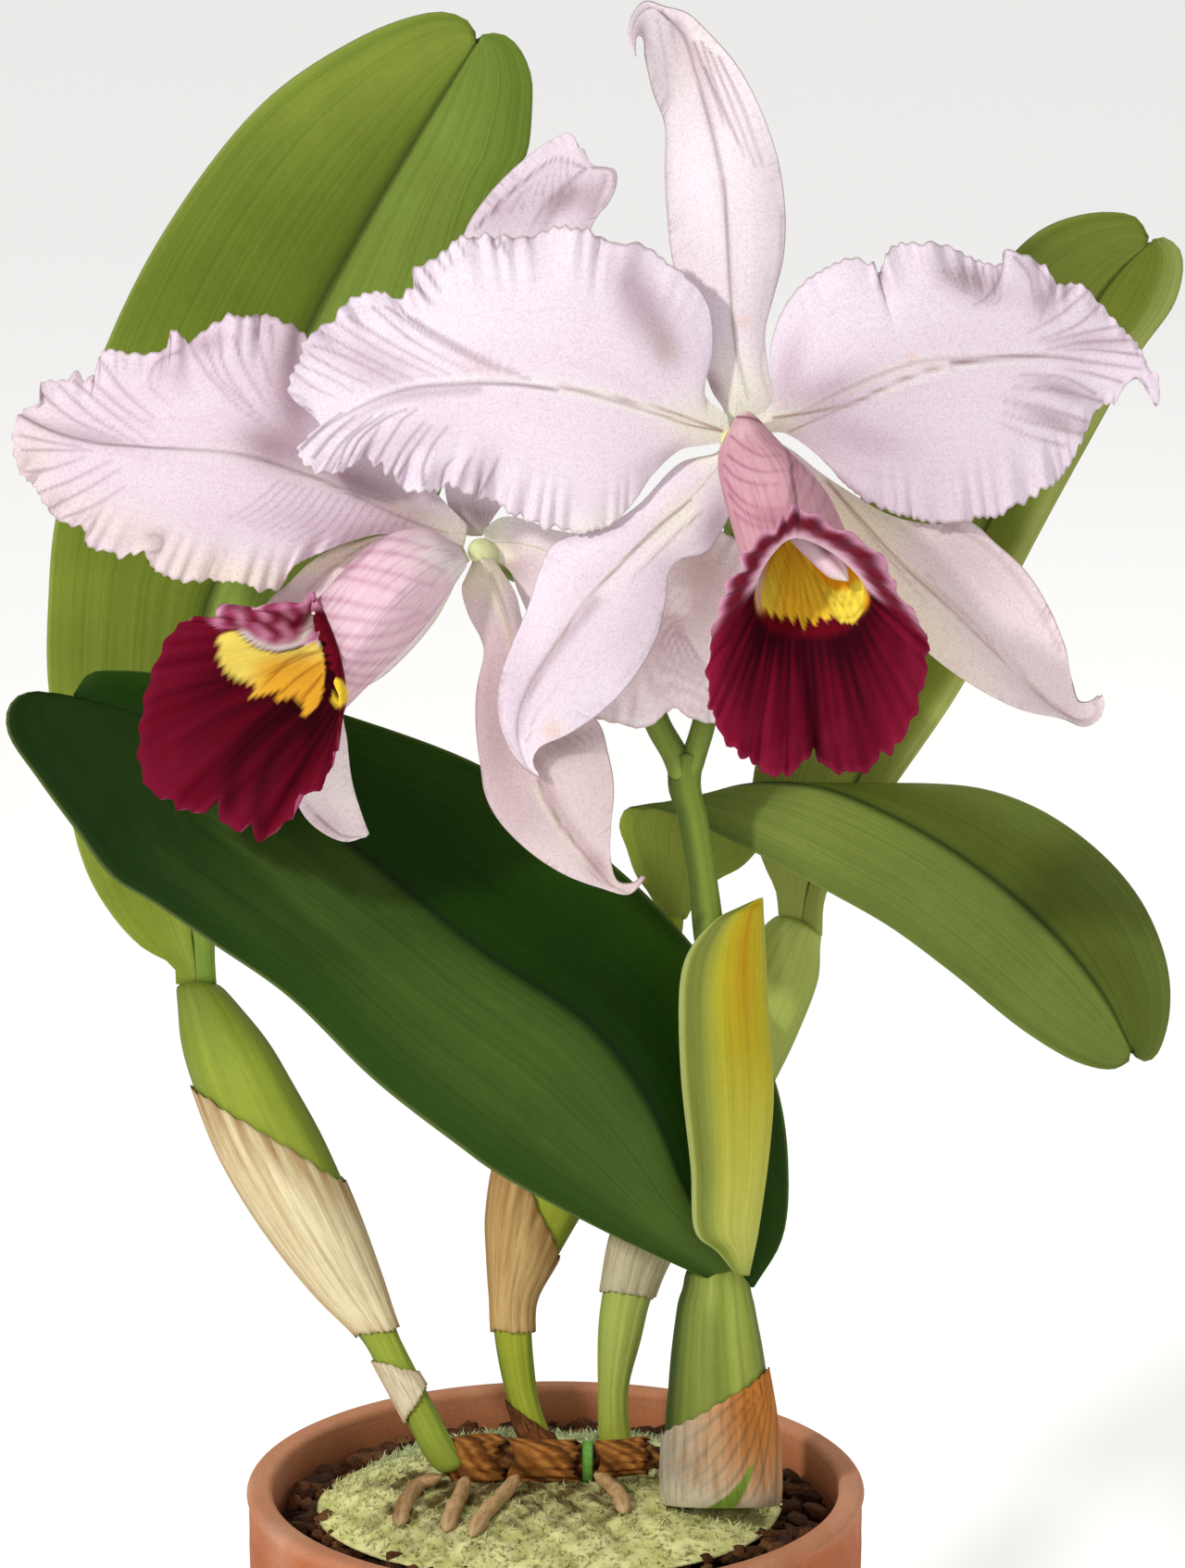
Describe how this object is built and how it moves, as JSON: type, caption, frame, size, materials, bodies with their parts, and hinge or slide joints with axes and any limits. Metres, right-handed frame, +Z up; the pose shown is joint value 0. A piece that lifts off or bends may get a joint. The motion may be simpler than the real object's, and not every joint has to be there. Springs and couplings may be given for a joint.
{
  "type": "potted orchid",
  "caption": "Flowering orchid in a plain clay pot: stalked bulbs with broad leathery leaves, and large pale lilac flowers with frilled crimson lips.",
  "frame": {"origin": "middle of the pot's underside", "axes": "+Z up, +X to the right of the front view, -Y towards the side that the flowers face"},
  "size_m": [0.2222, 0.1325, 0.3907],
  "materials": {
    "terracotta": "matt unglazed clay",
    "bark": "rough bark and soil",
    "moss": "soft and matt",
    "rhizome": "rough",
    "scale": "dry and papery",
    "root": "matt",
    "bulb": "smooth, slightly waxy",
    "sheath": "dry and papery",
    "leaf": "leathery, slightly waxy",
    "spathe": "thin and smooth",
    "stem": "smooth, slightly waxy",
    "petal": "soft and matt",
    "lip": "velvety",
    "column": "smooth, slightly waxy"
  },
  "bodies": {
    "root": {"pot": "terracotta", "potting_medium": "bark", "moss_mound": "moss", "rhizome": "rhizome", "rhizome_scale_1": "scale", "rhizome_scale_2": "scale", "rhizome_scale_3": "scale", "rhizome_ring": "bulb", "root_1": "root", "root_2": "root", "root_3": "root", "root_4": "root", "pseudobulb_left": "bulb", "pseudobulb_middle": "bulb", "pseudobulb_back": "bulb", "pseudobulb_front": "bulb", "sheath_left": "sheath", "sheath_left_small": "sheath", "sheath_middle": "sheath", "bract_middle": "scale", "sheath_back": "sheath", "sheath_front": "sheath", "leaf_front": "leaf", "leaf_left": "leaf", "leaf_right": "leaf", "leaf_back": "leaf", "spathe": "spathe", "peduncle": "stem", "pedicel_a": "stem", "pedicel_b": "stem", "a_dorsal_sepal": "petal", "a_petal_left": "petal", "a_petal_right": "petal", "a_sepal_left": "petal", "a_sepal_right": "petal", "a_lip": "lip", "a_column": "column", "b_dorsal_sepal": "petal", "b_petal_left": "petal", "b_petal_right": "petal", "b_sepal_left": "petal", "b_sepal_right": "petal", "b_lip": "lip", "b_column": "column"}
  },
  "joints": []
}
